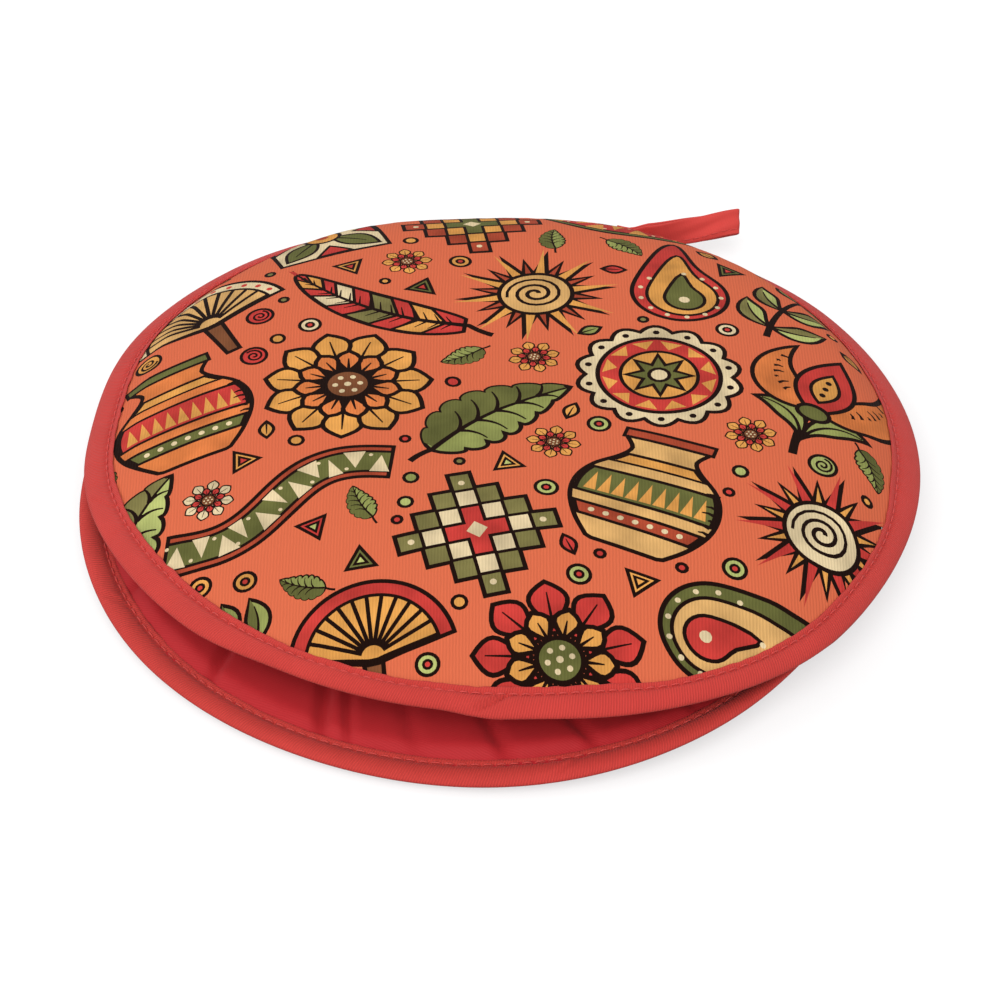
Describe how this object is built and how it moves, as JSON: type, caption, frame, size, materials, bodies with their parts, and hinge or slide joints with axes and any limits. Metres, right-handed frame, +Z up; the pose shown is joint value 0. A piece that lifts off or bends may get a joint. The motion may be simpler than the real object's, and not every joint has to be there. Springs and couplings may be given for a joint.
{
  "type": "tortilla warmer",
  "caption": "Round padded cloth pouch that keeps flatbreads warm: two quilted discs bound with tape, sewn round the back, with a lifting front flap and a hanging loop.",
  "frame": {"origin": "middle of the flat underside, on the surface the warmer lies on", "axes": "+Z up; -Y towards the open mouth; +Y towards the hanging loop; +X to the right as seen from the mouth"},
  "size_m": [0.2975, 0.3255, 0.0478],
  "materials": {
    "printed_cloth": "matte",
    "lining_cloth": "matte",
    "tape": "matte",
    "wadding": "matte",
    "thread": "satin"
  },
  "bodies": {
    "pouch": {"top_cover_rear": "printed_cloth", "top_wadding_rear": "wadding", "top_lining_rear": "lining_cloth", "top_binding_rear": "tape", "top_stitching_rear": "thread", "bottom_cover": "printed_cloth", "bottom_wadding": "wadding", "bottom_lining": "lining_cloth", "bottom_binding": "tape", "bottom_stitching": "thread", "closing_seam": "thread", "loop_tail": "tape", "bar_tack": "thread"},
    "flap": {"top_cover_flap": "printed_cloth", "top_wadding_flap": "wadding", "top_lining_flap": "lining_cloth", "top_binding_flap": "tape", "top_stitching_flap": "thread"},
    "loop": {"hanging_loop": "tape", "loop_stitching": "thread"}
  },
  "joints": [
    {"name": "flap_lift", "type": "hinge", "parent": "pouch", "child": "flap", "pos_m": [0, -0.03882, 0.0486], "axis": [-1, 0, 0], "range_deg": [0, 45], "stiffness_Nm_per_rad": 0.3},
    {"name": "loop_swing", "type": "hinge", "parent": "pouch", "child": "loop", "pos_m": [-0.01225, 0.1522, 0.012], "axis": [0, 0, 1], "range_deg": [-5, 85], "stiffness_Nm_per_rad": 0.002}
  ]
}
